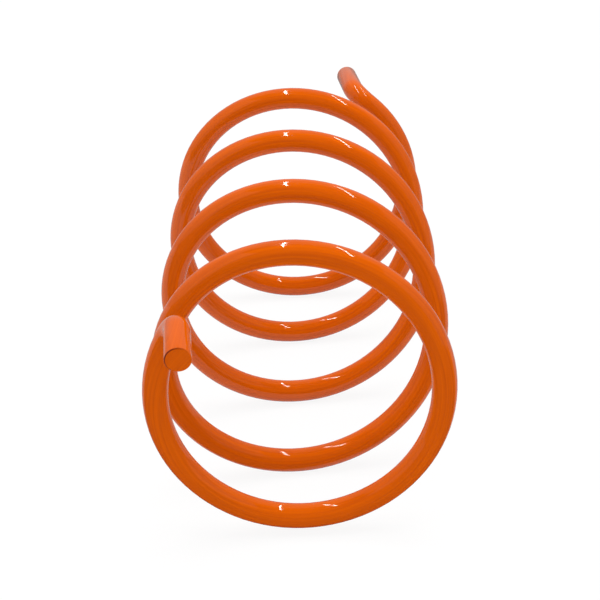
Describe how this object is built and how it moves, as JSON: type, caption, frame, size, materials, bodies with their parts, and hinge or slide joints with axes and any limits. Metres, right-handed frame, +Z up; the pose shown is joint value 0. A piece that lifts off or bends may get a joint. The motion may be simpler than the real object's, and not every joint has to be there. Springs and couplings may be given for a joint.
{
  "type": "clutch spring",
  "caption": "Open left-hand coil of round painted wire with a short straight tang bent out along the axis at each end; it pushes and twists a clutch sheave back.",
  "frame": {"origin": "point of the floor under the middle of the spring's box, as it lies on its side", "axes": "+Y along the coil's axis from the front tang to the back tang, +Z up, +X to the right seen from the front tang's end"},
  "size_m": [0.0694, 0.1616, 0.0691],
  "materials": {
    "orange_paint": "gloss"
  },
  "bodies": {
    "root": {"clutch_spring": "orange_paint"}
  },
  "joints": []
}
